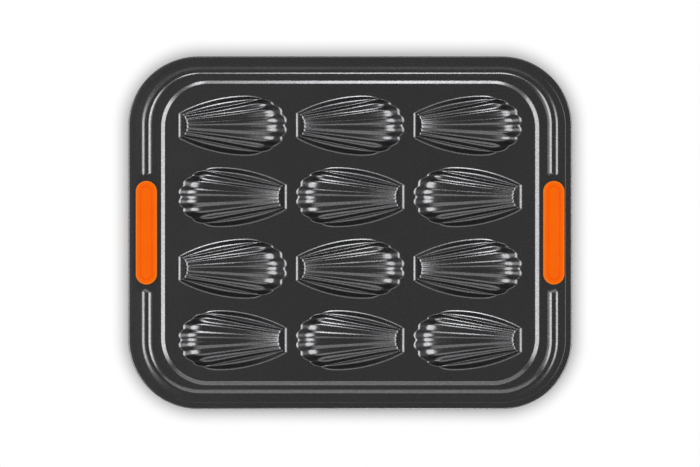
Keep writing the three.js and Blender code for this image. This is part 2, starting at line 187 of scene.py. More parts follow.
class RimSizes(bpy.types.PropertyGroup):
    """Sizes of the sheet, its rim and its sunk deck"""

    sheet: length_property("Sheet", "Thickness of the steel", 1 * MM)
    half_length: length_property("Half length", "Middle to a short edge", SHEET_HIGH.x)
    half_width: length_property("Half width", "Middle to a long edge", SHEET_HIGH.y)
    rim_top: length_property("Rim level", "Height of the flat of the rim", 19.1 * MM)
    deck_drop: length_property("Deck drop", "From the rim down to the deck", 3.4 * MM)
    end_rim: length_property("End rim", "From a short edge to the deck", 31 * MM)
    side_rim: length_property("Side rim", "From a long edge to the deck", 23.5 * MM)
    corner: length_property("Corner radius", "Radius of the outer corners", 58.5 * MM)
    deck_corner: length_property("Deck corner", "Radius of the corners of the deck", 35.5 * MM)
    wall_run: length_property("Wall run", "Width of the sloped wall seen from above", 4.2 * MM)
    wall_round: length_property("Wall round", "How far the wall bends at its top and foot", 1 * MM)
    lip_drop: length_property("Lip", "Height of the turned-down lip", 3.5 * MM)
    band_width: length_property("Band", "Width of the raised outermost band", 5.5 * MM)
    band_rise: length_property("Band rise", "Height of that band", 0.28 * MM)
    bead_crest_end: length_property(
        "Bead on the ends", "From a short edge to the outside of the bead's crest", 14.2 * MM)
    bead_crest_side: length_property(
        "Bead on the sides", "From a long edge to the outside of the bead's crest", 12.7 * MM)
    crest_end: length_property(
        "Crest on the ends", "Width of the bead's crest along the short ends", 2.4 * MM)
    crest_side: length_property(
        "Crest on the sides", "Width of the bead's crest along the long sides", 0.2 * MM)
    bead_height: length_property("Bead height", "Height of the stiffening bead", 0.75 * MM)
    bead_apron: length_property(
        "Bead apron", "How far the rim rises gently outside the bead", 0.06 * MM)
    outer_end: length_property(
        "Outer flank on the ends", "Width of the bead's outer flank along the short ends", 3.1 * MM)
    outer_side: length_property(
        "Outer flank on the sides", "Width of the bead's outer flank along the long sides",
        5.8 * MM)
    bead_inner: length_property(
        "Bead inner flank", "Width of the inner flank and its toe", 4.6 * MM)
    ledge_drop: length_property(
        "Ledge drop", "How far the rim lies lower inside the bead", 1.15 * MM)
    bead_stop: length_property(
        "Bead stop", "Middle of the short end to the tip of the bead", 46.2 * MM)


class GripSizes(bpy.types.PropertyGroup):
    """Sizes of the soft grips"""

    centre: length_property(
        "Centre", "From the middle of the tray to the middle of a grip",
        (GRIP_LOW.x + GRIP_HIGH.x) / 2 - 0.8 * MM)
    length: length_property("Length", "Length of a grip", GRIP_HIGH.y - GRIP_LOW.y - 0.7 * MM)
    width: length_property("Width", "Width of a grip", GRIP_HIGH.x - GRIP_LOW.x - 0.6 * MM)
    top: length_property("Top", "Height of the upper cap", GRIP_HIGH.z)
    bottom: length_property("Bottom", "Level of the lower cap", GRIP_LOW.z)
    lap: length_property("Lap", "How far the caps reach past the neck", 2.2 * MM)
    edge: length_property("Edge", "Rounding of the caps", 1.3 * MM)
    border: length_property("Border", "Width of the raised border", 3.2 * MM)
    sink: length_property("Panel sink", "Depth of the sunk panel", 0.35 * MM)
    groove: length_property("Groove", "Depth of the groove round the panel, below it", 0.7 * MM)


class TrayFinish(bpy.types.PropertyGroup):
    """Colours of the tray"""

    coat: colour_property("Coat", "Metal flake in the non-stick coat", "#4a4a4b")
    fleck: colour_property("Fleck", "Lighter flecks in the coat", "#5c5c5d")
    coat_edge: colour_property("Coat edge", "Tint of the coat's shine at a flat angle", "#a8a8a8")
    silicone: colour_property("Silicone", "Colour of the grips", "#fb6a00")
    silicone_deep: colour_property("Silicone in depth", "Where the grips look deeper", "#f26200")
    # Painted highlight: the grips' rounded edges get this paler colour in place of the side light
    # that falls on them
    silicone_painted_highlight: colour_property(
        "Silicone edge", "Where the grips are thin and light comes through", "#ff8a1c")


# Materials


def add_node(tree, kind, inputs=None, **settings):
    """Adds a node with its settings and its inputs.

    An input is a fixed value, a socket that is linked in, or a node whose first result is.
    """
    made = tree.nodes.new(kind)
    for name, value in settings.items():
        setattr(made, name, value)
    for name, value in (inputs or {}).items():
        if isinstance(value, bpy.types.Node):
            value = next(socket for socket in value.outputs if socket.enabled)
        if isinstance(value, bpy.types.NodeSocket):
            tree.links.new(value, made.inputs[name])
        else:
            made.inputs[name].default_value = value
    return made


def new_material(name):
    """An empty node material, and the tree that it is drawn in."""
    material = bpy.data.materials.new(name)
    material.use_nodes = True
    material.node_tree.nodes.clear()
    return material, material.node_tree


def baked_coat(finish):
    """Non-stick coat with metal flake, sprayed on steel and baked.

    To the eye it is a dark even film with a soft metallic shine, and dark at a flat angle too,
    because the flakes lie in a dark binder. The spray leaves a faint orange peel and pale flecks.
    The flecks are about 0.1 mm in the real coat and are drawn 1.2 mm wide, so that they show as
    the grain of the sheet. The orange peel is 1.6 mm wide, and the shine varies over 45 mm.
    """
    material, tree = new_material("baked_non_stick_coat_on_steel")
    place = add_node(tree, "ShaderNodeTexCoord").outputs["Object"]
    grain, peel, cloud = (
        add_node(
            tree, "ShaderNodeTexNoise", {"Vector": place, "Scale": 1 / width, "Detail": detail})
        for width, detail in ((1.2 * MM, 3.0), (1.6 * MM, 3.0), (45 * MM, 2.0)))
    flecks = add_node(
        tree, "ShaderNodeMapRange", {"Value": grain, "From Min": 0.46, "From Max": 0.74})
    colour = add_node(
        tree, "ShaderNodeMix", {"Factor": flecks, "A": finish.coat, "B": finish.fleck},
        data_type="RGBA")
    shine = add_node(
        tree, "ShaderNodeMapRange",
        {"Value": cloud, "From Min": 0.3, "From Max": 0.7, "To Min": 0.2, "To Max": 0.22})
    bump = add_node(
        tree, "ShaderNodeBump", {"Height": peel, "Strength": 0.02, "Distance": 0.05 * MM})
    shader = add_node(
        tree, "ShaderNodeBsdfPrincipled",
        {
            "Base Color": colour,
            "Metallic": 0.85,
            "Roughness": shine,
            "Normal": bump,
            "Specular IOR Level": 0.0,
            "Specular Tint": finish.coat_edge,
        })
    add_node(tree, "ShaderNodeOutputMaterial", {"Surface": shader})
    return material


def moulded_silicone(finish):
    """Silicone rubber, moulded in a fine-blasted tool: an even colour with a soft satin sheen.

    Its rounded edges are painted paler, a painted highlight for the side light that falls on them.
    The blasted grit is about 0.1 mm in the real moulding and is drawn 0.35 mm wide, so that it
    shows.
    """
    material, tree = new_material("moulded_silicone_rubber")
    place = add_node(tree, "ShaderNodeTexCoord").outputs["Object"]
    grit, cloud = (
        add_node(tree, "ShaderNodeTexNoise", {"Vector": place, "Scale": 1 / width, "Detail": 2.0})
        for width in (0.35 * MM, 12 * MM))
    colour = add_node(
        tree, "ShaderNodeMix", {"Factor": cloud, "A": finish.silicone_deep, "B": finish.silicone},
        data_type="RGBA")
    # Painted highlight: the edge attribute marks the rounded edges, which are drawn paler in place
    # of side light
    edge = add_node(tree, "ShaderNodeAttribute", attribute_name="edge").outputs["Fac"]
    painted_edge_highlight = add_node(
        tree, "ShaderNodeMix", {"Factor": edge, "A": colour, "B": finish.silicone_painted_highlight},
        data_type="RGBA")
    shine = add_node(
        tree, "ShaderNodeMapRange",
        {"Value": grit, "From Min": 0.3, "From Max": 0.7, "To Min": 0.46, "To Max": 0.58})
    bump = add_node(
        tree, "ShaderNodeBump", {"Height": grit, "Strength": 0.15, "Distance": 0.03 * MM})
    shader = add_node(
        tree, "ShaderNodeBsdfPrincipled",
        {
            "Base Color": painted_edge_highlight,
            "Roughness": shine,
            "Normal": bump,
            "IOR": 1.41,
            "Specular IOR Level": 0.03,
        })
    add_node(tree, "ShaderNodeOutputMaterial", {"Surface": shader})
    return material


# Shapes


def smooth_max(a, b, round_over):
    """The larger of two heights, rounded off where they are close."""
    lap = np.maximum(round_over - np.abs(a - b), 0) / round_over
    return np.maximum(a, b) + lap * lap * round_over / 4


def smooth_min(a, b, round_over):
    """The smaller of two heights, rounded off where they are close."""
    return -smooth_max(-a, -b, round_over)


def ease(part):
    """A smooth step from 0 to 1."""
    part = min(max(part, 0), 1)
    return part * part * (3 - 2 * part)


def bell(part):
    """A rounded fall from 1 to 0."""
    return (1 + math.cos(math.pi * min(part, 1))) / 2


def soften(values, passes):
    """Evens out values round a closed loop."""
    for _ in range(passes):
        values = (np.roll(values, 1, axis=0) + 2 * values + np.roll(values, -1, axis=0)) / 4
    return values


class Pressing:
    """A sheet under construction: its upper side, its underside and the faces of the upper side."""

    def __init__(self, thickness):
        self.thickness = thickness
        self.top = []
        self.under = []
        self.faces = []

    def corners(self, top, under=None):
        """Adds corners of the upper side, and of the underside if known. Returns their numbers."""
        start = len(self.top)
        self.top.extend(map(tuple, top))
        self.under.extend([None] * len(top) if under is None else map(tuple, under))
        return np.arange(start, len(self.top))

    def strip(self, first, second, keep=None):
        """Faces between two closed rings, the second inside the first. keep says which to lay."""
        count = len(first)
        for i in range(count):
            j = (i + 1) % count
            if keep is None or keep[i]:
                self.faces.append((first[i], first[j], second[j], second[i]))

    def fill(self, rim, holes):
        """Lays a flat between a rim loop and the loops of the holes in it."""
        loops = [list(rim)] + [list(loop) for loop in holes]
        numbers = [i for loop in loops for i in loop]
        plan = [Vector(self.top[i][:2]) / MM for i in numbers]
        edges = []
        start = 0
        for loop in loops:
            edges.extend((start + k, start + (k + 1) % len(loop)) for k in range(len(loop)))
            start += len(loop)
        cut = geometry.delaunay_2d_cdt(plan, edges, [], INSIDE_LOOPS, TINY)
        _, _, faces, came_from, _, _ = cut
        numbers_of = [numbers[came[0]] for came in came_from]
        ends = np.array([(*plan[a], *plan[b]) for a, b in edges])
        for face in faces:
            chosen = [numbers_of[k] for k in face]
            (ax, ay), (bx, by), (cx, cy) = (self.top[i][:2] for i in chosen)
            x, y = (ax + bx + cx) / 3 / MM, (ay + by + cy) / 3 / MM
            # On the flat, a line from a face's middle crosses the loops an odd number of times
            spans = (ends[:, 1] > y) != (ends[:, 3] > y)
            x0, y0, x1, y1 = ends[spans].T
            if np.count_nonzero(x0 + (y - y0) * (x1 - x0) / (y1 - y0) > x) % 2:
                turned = (bx - ax) * (cy - ay) - (by - ay) * (cx - ax) < 0
                self.faces.append(tuple(reversed(chosen)) if turned else tuple(chosen))

    def mesh(self, name):
        """Closes the sheet: gives it an underside and joins the two sides along the free edges."""
        top = np.array(self.top)
        # The underside lies a thickness below, across the slope of the four-sided faces
        normals = np.zeros((len(top), 3))
        for face in self.faces:
            if len(face) == 4:
                a, b, c, d = top[list(face)]
                normals[list(face)] += np.cross(c - a, d - b)
        length = np.maximum(np.linalg.norm(normals, axis=1), 1e-20)
        upward = np.clip(normals[:, 2] / length, STEEPEST, 1)
        under = top.copy()
        under[:, 2] -= self.thickness / upward
        for i, known in enumerate(self.under):
            if known is not None:
                under[i] = known
        count = len(top)
        edges = set()
        for face in self.faces:
            edges.update(zip(face, face[1:] + face[:1]))
        faces = list(self.faces)
        faces.extend(tuple(i + count for i in reversed(face)) for face in self.faces)
        faces.extend((b, a, a + count, b + count) for a, b in edges if (b, a) not in edges)
        corners = np.concatenate([top, under]).tolist()
        made = bpy.data.meshes.new(name)
        made.from_pydata(corners, [], [[int(i) for i in face] for face in faces])
        return made


# Cups


def cup_length(cup):
    """From the narrow edge to the wide end."""
    return cup.taper + cup.wide


def half_width_at(cup, u):
    """The side of a cup's outline: an arc from the narrow edge to the widest place and past it."""
    swell = (cup.width - cup.narrow) / 2
    radius = (cup.taper ** 2 + swell ** 2) / (2 * swell)
    return cup.width / 2 - radius + np.sqrt(radius ** 2 - (u - cup.taper) ** 2)


class FanLines:
    """Lines that fan out along a cup, one for each flute count f; every whole f is a ridge."""

    def __init__(self, cup, f):
        self.deepest_u = cup.taper - DEEPEST_BACK
        g = f - FLUTES / 2
        spread = np.sin(np.abs(g) * FAN_STEP)
        reach = (1 - spread ** FAN_FULLNESS) ** (1 / FAN_FULLNESS)
        self.end_v = np.sign(g) * spread * (cup.width / 2 - FAN_INSET)
        self.end_u = cup.taper + (cup.wide - MIDDLE_NOTCH) * reach
        self.start_v = g * START_STEP
        start_share = np.abs(g) / (FLUTES / 2)
        self.start_depth = cup.wall_depth * (1 - start_share ** SECTION_FULLNESS)
        self.start_u = self.start_depth / math.tan(cup.wall_angle)
        share = np.abs(self.across(self.deepest_u)) / half_width_at(cup, self.deepest_u)
        self.deepest = (cup.depth - RIDGE_RISE) * (1 - share ** SECTION_FULLNESS)

    def across(self, u):
        """How far across the cup the lines lie at u."""
        part = np.maximum(u - self.start_u, 0) / (self.end_u - self.start_u)
        return self.start_v + (self.end_v - self.start_v) * part

    def onward(self, u):
        """0 at the deepest place, 1 where the ridges end at the wide end."""
        return np.maximum(u - self.deepest_u, 0) / (self.end_u - self.deepest_u)

    def bowl(self, u):
        """Depth of the bowl that the ridges lie on."""
        back = np.maximum(self.deepest_u - u, 0) / (self.deepest_u - self.start_u)
        entry = self.deepest - (self.deepest - self.start_depth) * back ** ENTRY_FULLNESS
        way = np.maximum(self.onward(u) - EXIT_START, 0) / (1 - EXIT_START)
        curved = np.minimum(way, EXIT_STRAIGHT) ** 3
        straight = 3 * EXIT_STRAIGHT ** 2 * np.maximum(way - EXIT_STRAIGHT, 0)
        whole = EXIT_STRAIGHT ** 3 + 3 * EXIT_STRAIGHT ** 2 * (1 - EXIT_STRAIGHT)
        late = (curved + straight) / whole
        climb = EXIT_EARLY * self.onward(u) ** 2 + (1 - EXIT_EARLY) * late
        return np.where(u < self.deepest_u, entry, self.deepest * (1 - climb))


def flute_section(part, ridge_round):
    """Section of a flute, from ridge to ridge: a hollow with its ridges rounded."""
    near = np.minimum(part, 1 - part)
    steep = 4 * (1 - 2 * ridge_round)
    ridge = steep * near ** 2 / (2 * ridge_round)
    hollow = 4 * near * (1 - near) - 2 * ridge_round
    return np.where(near < ridge_round, ridge, hollow)


def fan_depth(cup, f, u):
    """Depth of the fluted bowl at u along the fan lines f. Its outer flutes are deeper."""
    low = np.minimum(np.floor(f), FLUTES - 2)
    width = FanLines(cup, low + 1).across(u) - FanLines(cup, low).across(u)
    lines = FanLines(cup, f)
    late = np.minimum(lines.onward(u), 1) ** SCALLOP_CHANGE
    sag = FLUTE_SAG + OUTER_SAG * (2 * f / FLUTES - 1) ** 2
    sag = sag + (SCALLOP_SAG - sag) * late
    ridge_round = FLOOR_RIDGE + (cup.ridge_round - FLOOR_RIDGE) * late
    return lines.bowl(u) + sag * width * flute_section(f - low, ridge_round)


def outline_u(cup, f):
    """Where the fan lines come up to the deck: on the scalloped outline, found by halving."""
    low = FanLines(cup, f).end_u - cup.wide / 6
    high = FanLines(cup, f).end_u + cup.wide / 3
    for _ in range(HALVINGS):
        middle = (low + high) / 2
        inside = fan_depth(cup, f, middle) > 0
        low = np.where(inside, middle, low)
        high = np.where(inside, high, middle)
    return low


def fan_sections(cup):
    """Plan and depth of the fluted floor and the end wall, a row for each section along the cup."""
    f = np.concatenate([low + FLUTE_PARTS for low in range(1, FLUTES - 1)] + [[FLUTES - 1]])
    lines = FanLines(cup, f)
    wall = WALL_SHARES[:, None] * lines.start_u
    floor = lines.start_u + FLOOR_SHARES[:, None] * (outline_u(cup, f) - lines.start_u)
    u = np.concatenate([wall, floor])
    depth = smooth_min(u * math.tan(cup.wall_angle), fan_depth(cup, f, u), FOOT_ROUND)
    return u, lines.across(u), depth


def side_sections(cup):
    """The same for the long flute along a side, from the last ridge to the side of the outline."""
    last = np.array([FLUTES - 1.0])
    line = FanLines(cup, last)
    end_u = outline_u(cup, last)
    at = FLOOR_SHARES[:, None]
    share = SIDE_SHARES[None, :]
    rise = share ** SIDE_FULLNESS
    slant = share ** SIDE_SLANT
    ridge_u = line.start_u + at * (end_u - line.start_u)
    ridge_v = line.across(ridge_u)
    edge_u = end_u * at
    edge_v = half_width_at(cup, edge_u)
    edge_v = edge_v + (ridge_v - edge_v) * at ** SIDE_CLOSING
    u = ridge_u + (edge_u - ridge_u) * slant
    v = ridge_v + (edge_v - ridge_v) * share
    shoulder = SHOULDER_DROP * (1 - np.maximum(1 - share / SIDE_SHOULDER, 0) ** 2)
    depth = fan_depth(cup, last, ridge_u) * (1 - shoulder - (1 - SHOULDER_DROP) * rise)
    wall = WALL_SHARES[:, None] * u[0]
    u = np.concatenate([wall, u])
    v = np.concatenate([np.repeat(v[:1], len(wall), axis=0), v])
    depth = np.concatenate([np.repeat(depth[:1], len(wall), axis=0), depth])
    slope = math.tan(cup.wall_angle)
    return u, v, np.minimum(smooth_min(u * slope, depth, FOOT_ROUND), np.maximum(depth, 0) + 1)


def cup_grid(cup):
    """Plan and depth of a whole cup, before its edge is rounded."""
    fan = fan_sections(cup)
    side_u, side_v, side_depth = side_sections(cup)
    one_side = (side_u[:, ::-1], -side_v[:, ::-1], side_depth[:, ::-1])
    other_side = (side_u, side_v, side_depth)
    return [np.concatenate(parts, axis=1) for parts in zip(one_side, fan, other_side)]


def edge_slopes(u, v, raw):
    """Slope of the wall under the outline: for each column at the scallops, and for each row."""
    def slope(here, inner):
        apart = np.maximum(np.hypot(u[here] - u[inner], v[here] - v[inner]), TINY)
        return np.clip((raw[inner] - raw[here]) / apart, *EDGE_SLOPES)

    every = slice(None)
    return slope((-1, every), (-4, every)), slope((every, -1), (every, -4))


def wall_slopes(cup, u, v, raw):
    """The slopes that the edge is rounded for: over the grid, at the scallops and at the sides."""
    end_slope, side_slope = edge_slopes(u, v, raw)
    sides = len(SIDE_SHARES)
    foot = len(WALL_SHARES)
    end_wall = math.tan(cup.wall_angle)
    end_slope[:sides] = end_slope[sides]
    end_slope[-sides:] = end_slope[-sides - 1]
    side_slope[:foot + 2] = end_wall
    change = np.concatenate([np.zeros(foot), FLOOR_SHARES ** EDGE_CHANGE])
    side_slope = side_slope + (end_slope[-1] - side_slope) * change
    to_edge = np.zeros(len(end_slope))
    to_edge[:sides] = SIDE_SHARES[::-1]
    to_edge[-sides:] = SIDE_SHARES
    slope = end_slope[None, :] + (side_slope[:, None] - end_slope[None, :]) * to_edge[None, :]
    slope[:foot + 1] = end_wall
    return slope, end_slope, side_slope


def round_over(cup, slope):
    """How deep a rounded edge reaches, for the slope of the wall below it."""
    return cup.edge_round * slope * np.tan(np.arctan(slope) / 2)


def outline_loop(u, v, end_slope, side_slope):
    """The outline of a cup as cells of its grid, clockwise from the narrow edge, and its slopes."""
    rows, columns = u.shape
    foot = len(WALL_SHARES)
    cells = [((0, j), side_slope[0]) for j in range(columns)]
    cells += [((i, columns - 1), side_slope[i]) for i in range(foot + 1, rows)]
    cells += [((rows - 1, j), end_slope[j]) for j in range(columns - 2, 0, -1)]
    cells += [((i, 0), side_slope[i]) for i in range(rows - 1, foot, -1)]
    loop = []
    slopes = []
    for here, slope in cells:
        if loop and math.hypot(u[here] - u[loop[-1]], v[here] - v[loop[-1]]) < TINY:
            continue
        loop.append(here)
        slopes.append(slope)
    return loop, np.array(slopes)


def outward_from(line):
    """Directions that lead away from a closed line, evened out along it."""
    ahead = np.roll(line, -1, axis=0) - np.roll(line, 1, axis=0)
    outward = np.stack([-ahead[:, 1], ahead[:, 0]], axis=1)
    outward = soften(outward / np.linalg.norm(outward, axis=1)[:, None], OUTWARD_PASSES)
    outward /= np.linalg.norm(outward, axis=1)[:, None]
    return outward


def weld(plan, depth, faces, loop):
    """Joins corners that lie in one place, and drops the faces that this leaves without area."""
    places = np.round(np.column_stack([plan, depth]) / WELD).astype(np.int64)
    _, first, same = np.unique(places, axis=0, return_index=True, return_inverse=True)
    same = same.ravel()
    welded = []
    for face in faces:
        corners = [int(same[i]) for i in face]
        kept = [c for k, c in enumerate(corners) if c != corners[k - 1]]
        if len(set(kept)) > 2:
            welded.append(tuple(kept))
    return plan[first], depth[first], welded, [int(same[i]) for i in loop]


def cup_template(cup):
    """One cup in plan with its depths, its faces and the loop that it leaves for the deck."""
    u, v, raw = cup_grid(cup)
    rows, columns = u.shape
    grid = np.arange(rows * columns).reshape(rows, columns)
    faces = [
        (grid[i, j], grid[i + 1, j], grid[i + 1, j + 1], grid[i, j + 1])
        for i in range(rows - 1) for j in range(columns - 1)
    ]
    slope, end_slope, side_slope = wall_slopes(cup, u, v, raw)
    cells, slopes = outline_loop(u, v, end_slope, side_slope)
    slopes = soften(slopes, SLOPE_PASSES)
    line = np.array([(u[cell], v[cell]) for cell in cells])
    outward = outward_from(line)
    plan = [np.stack([u.ravel(), v.ravel()], axis=1)]
    raws = [raw.ravel()]
    rounds = [round_over(cup, slope).ravel()]
    last = [grid[cell] for cell in cells]
    start = rows * columns
    for away in COLLAR:
        ring = np.arange(start, start + len(line))
        start += len(line)
        plan.append(line + outward * away)
        raws.append(-slopes * away)
        rounds.append(round_over(cup, slopes))
        for k in range(len(line)):
            n = (k + 1) % len(line)
            faces.append((ring[k], last[k], last[n], ring[n]))
        last = ring
    depth = smooth_max(np.concatenate(raws), 0, np.concatenate(rounds))
    depth = smooth_min(depth, cup.depth, FLOOR_ROUND)
    return weld(np.concatenate(plan), depth, faces, last)


# Rim


def rounded_ring(half_x, half_y, radius, stations):
    """A rounded rectangle, counter-clockwise, with extra stations across its short ends."""
    points = []
    for corner in range(4):
        if corner % 2 == 0:
            side = 1 if corner == 0 else -1
            points.extend((side * half_x, side * y) for y in stations)
        middle_x = (half_x - radius) * (1 if corner in (0, 3) else -1)
        middle_y = (half_y - radius) * (1 if corner < 2 else -1)
        for step in range(CORNER_STEPS + 1):
            angle = (corner + step / CORNER_STEPS) * math.pi / 2
            points.append((
                middle_x + radius * math.cos(angle), middle_y + radius * math.sin(angle)))
    return np.array(points)


def wall_drop(rim, run):
    """How far the sloped wall has come down, a way run from its top. Its two ends are bent."""
    slope = rim.deck_drop / (rim.wall_run - rim.wall_round)
    bend = rim.wall_round

    def bent(x):
        x = np.clip(x, 0, bend)
        return slope * x * x / (2 * bend)

    straight = slope * max(0, min(run, rim.wall_run - bend) - bend)
    foot = bent(bend) - bent(rim.wall_run - run) if run > rim.wall_run - bend else 0
    return bent(run) + straight + foot


def lip_profile(rim):
    """The lip and the bend above it as inset and height, outside and inside the sheet."""
    outer = LIP_BEND * rim.sheet
    crest = rim.rim_top + rim.band_rise
    outside = [
        (LIP_TUCK * (1 - part) ** 2, crest - outer - rim.lip_drop * (1 - part))
        for part in np.linspace(0, 1, 5)
    ]
    outside += [
        (outer * (1 - math.cos(angle)), crest - outer * (1 - math.sin(angle)))
        for angle in QUARTER_TURN[1:]
    ]
    outside = np.array(outside)
    along = np.gradient(outside, axis=0)
    along /= np.linalg.norm(along, axis=1)[:, None]
    inside = outside + rim.sheet * np.stack([along[:, 1], -along[:, 0]], axis=1)
    return outside, inside


def seat_level(rim, x):
    """Level of the rim where a grip sits: it falls gently from the band to the ledge."""
    band = rim.band_width + BAND_STEP
    ledge = rim.end_rim - rim.wall_run - rim.wall_round
    return -rim.ledge_drop * ease((rim.half_length - abs(x) - band) / (ledge - band))


def bead_level(rim, x, share, past, outer, foot):
    """Height of the bead at a share of the way down a flank that ends at the level foot.

    past is the same share along the bead, off its end, where it runs out into the seat of the grip.
    """
    reach = min(1, math.hypot(share, past))
    foot = foot + (seat_level(rim, x) - foot) * ease(past)
    if outer:
        fall = bell(reach)
    else:
        fall = BEAD_BROW * bell(reach / BEAD_STEEP) + (1 - BEAD_BROW) * (1 - ease(reach))
    return foot + (rim.bead_height - foot) * fall


def add_rim(sheet, rim, grip):
    """Lofts the rim from the lip to the foot of the wall, with slots. Returns the deck's loop."""
    zone = grip.length / 2 + SEAT_SPARE
    tips = np.linspace(
        rim.bead_stop - 0.3 * MM, rim.bead_stop + BEAD_RUN_OUT + 1 * MM, TIP_SECTIONS)
    stations = [zone, *tips]
    stations = sorted([-y for y in stations] + [-zone / 3, zone / 3] + stations)
    rings = []

    def ring(from_end, from_side, corner, height, under=None):
        half_x = rim.half_length - from_end
        half_y = rim.half_width - from_side
        place = rounded_ring(half_x, half_y, corner, stations)
        heights = [rim.rim_top + height(x, y) for x, y in place]
        below = None
        if under is not None:
            shift, level = under
            inner = rounded_ring(half_x - shift, half_y - shift, corner - shift, stations)
            below = np.column_stack([inner, np.full(len(inner), level)])
        rings.append(sheet.corners(np.column_stack([place, heights]), below))

    def bead(share, outer, foot):
        full = rim.bead_stop + BEAD_RUN_OUT

        def height(x, y):
            on_end = abs(x) > rim.half_length - rim.corner
            past = min(1, max(0, full - abs(y)) / BEAD_RUN_OUT) if on_end else 0
            return bead_level(rim, x, share, past, outer, foot)

        return height

    # The lip and the raised band
    outside, inside = lip_profile(rim)
    for (inset, level), (inner_inset, inner_level) in zip(outside, inside):
        rise = level - rim.rim_top
        under = (inner_inset - inset, inner_level)
        ring(inset, inset, rim.corner - inset, lambda x, y: rise, under)
    for part in np.linspace(-1, 1, FLANK_SECTIONS):
        inset = rim.band_width + part * BAND_STEP
        rise = rim.band_rise * (1 - ease((part + 1) / 2))
        ring(inset, inset, rim.corner - inset, lambda x, y: rise)
    first_flat = len(rings) - 1

    # The apron and the bead's outer flank, its crest and its inner flank
    outer_corner = rim.corner - (rim.bead_crest_end + rim.bead_crest_side) / 2
    band = rim.band_width + BAND_STEP
    foot_end = rim.bead_crest_end - rim.outer_end
    foot_side = rim.bead_crest_side - rim.outer_side
    foot_corner = outer_corner + (rim.outer_end + rim.outer_side) / 2
    for part in APRON_PARTS:
        ring(
            band + (foot_end - band) * part, band + (foot_side - band) * part,
            rim.corner - band + (foot_corner - rim.corner + band) * part,
            bead(1, True, rim.bead_apron * part))
    for share in np.linspace(1, 0, FLANK_SECTIONS):
        out_end = share * rim.outer_end
        out_side = share * rim.outer_side
        ring(
            rim.bead_crest_end - out_end, rim.bead_crest_side - out_side,
            outer_corner + (out_end + out_side) / 2, bead(share, True, rim.bead_apron))
    inner_end = rim.bead_crest_end + rim.crest_end
    inner_side = rim.bead_crest_side + rim.crest_side
    inner_corner = outer_corner - (rim.crest_end + rim.crest_side) / 2
    for share in np.linspace(0, 1, FLANK_SECTIONS):
        into = share * rim.bead_inner
        height = bead(share, False, -rim.ledge_drop)
        ring(inner_end + into, inner_side + into, inner_corner - into, height)

    # The ledge and the sloped wall
    bend = rim.wall_round
    runs = np.concatenate([
        [-bend], np.linspace(0, bend, 6), np.linspace(bend, rim.wall_run - bend, 5)[1:-1],
        np.linspace(rim.wall_run - bend, rim.wall_run, 6), [rim.wall_run + bend]])
    last_flat = len(rings)
    for run in runs:
        left = run - rim.wall_run
        down = wall_drop(rim, min(max(run, 0), rim.wall_run)) / rim.deck_drop
        level = -rim.ledge_drop * (1 - down) - rim.deck_drop * down
        ring(rim.end_rim + left, rim.side_rim + left, rim.deck_corner - left, lambda x, y: level)

    # The faces, apart from the places of the slots
    place = np.array(sheet.top)
    for i in range(1, len(rings)):
        keep = None
        if first_flat < i <= last_flat:
            y0 = place[rings[i], 1]
            y1 = np.roll(y0, -1)
            on_end = np.abs(place[rings[i], 0]) > rim.half_length - rim.corner
            keep = ~(on_end & (np.maximum(np.abs(y0), np.abs(y1)) < zone + TINY))
        sheet.strip(rings[i - 1], rings[i], keep)
    add_slots(sheet, rim, grip, rings[first_flat:last_flat + 1], zone)
    return rings[-1]


def add_slots(sheet, rim, grip, rings, zone):
    """Lays the flat of the short rims round the slots that hold the grips."""
    end_from = rim.half_length - rim.corner
    for side in (1, -1):
        rows = []
        for ring in rings:
            places = [(i, *sheet.top[i][:2]) for i in ring]
            row = [i for i, x, y in places if x * side > end_from and abs(y) < zone + TINY]
            rows.append(sorted(row, key=lambda i: side * sheet.top[i][1]))
        loop = rows[0] + [row[-1] for row in rows[1:-1]]
        loop += rows[-1][::-1] + [row[0] for row in rows[-2:0:-1]]
        slot = stadium(grip, grip.lap - SLOT_SPARE)
        slot[:, 0] += side * grip.centre
        levels = [rim.rim_top + seat_level(rim, x) for x, _ in slot]
        sheet.fill(loop, [sheet.corners(np.column_stack([slot, levels]))])


# Grips


def stadium(grip, inset):
    """The outline of a grip drawn in by an inset, counter-clockwise round the grip's middle."""
    radius = grip.width / 2 - inset
    straight = (grip.length - grip.width) / 2
    points = []
    for side in (1, -1):
        for step in range(STADIUM_STEPS + 1):
            angle = step * math.pi / STADIUM_STEPS
            y = radius * math.sin(angle) + straight
            points.append((side * radius * math.cos(angle), side * y))
    return np.array(points)


def grip_profile(rim, grip):
    """The section of a grip as inset and height, from the middle of its top to that below."""
    edge = grip.edge
    upper = rim.rim_top - UPPER_SEAT * rim.ledge_drop
    lower = rim.rim_top - rim.sheet - LOWER_GAP
    panel = grip.top - grip.sink
    floor = panel - grip.groove
    foot = grip.border + GROOVE_FOOT
    rows = [(inset, panel) for inset in np.linspace(grip.width / 2 - 0.5 * MM, foot + 2 * MM, 4)]
    for part in np.linspace(0.2, 1, 5):
        rows.append((foot + GROOVE_INNER * (1 - part), panel - grip.groove * ease(part)))
    for part in np.linspace(0.125, 1, 8):
        rows.append((foot - GROOVE_OUTER * part, floor + (grip.top - floor) * ease(part)))
    for inset in np.linspace(grip.border - 0.4 * MM, edge + 0.2 * MM, 3):
        rows.append((inset, grip.top))
    for angle in QUARTER_TURN:
        rows.append((edge * (1 - math.sin(angle)), grip.top - edge * (1 - math.cos(angle))))
    rows += [(0, upper), (grip.lap, upper), (grip.lap, lower)]
    rows += [(LOWER_BEVEL, lower), (0, lower - LOWER_BEVEL)]
    for angle in QUARTER_TURN:
        rows.append((edge * (1 - math.cos(angle)), grip.bottom + edge * (1 - math.sin(angle))))
    rows.append((edge + 1 * MM, grip.bottom))
    return rows


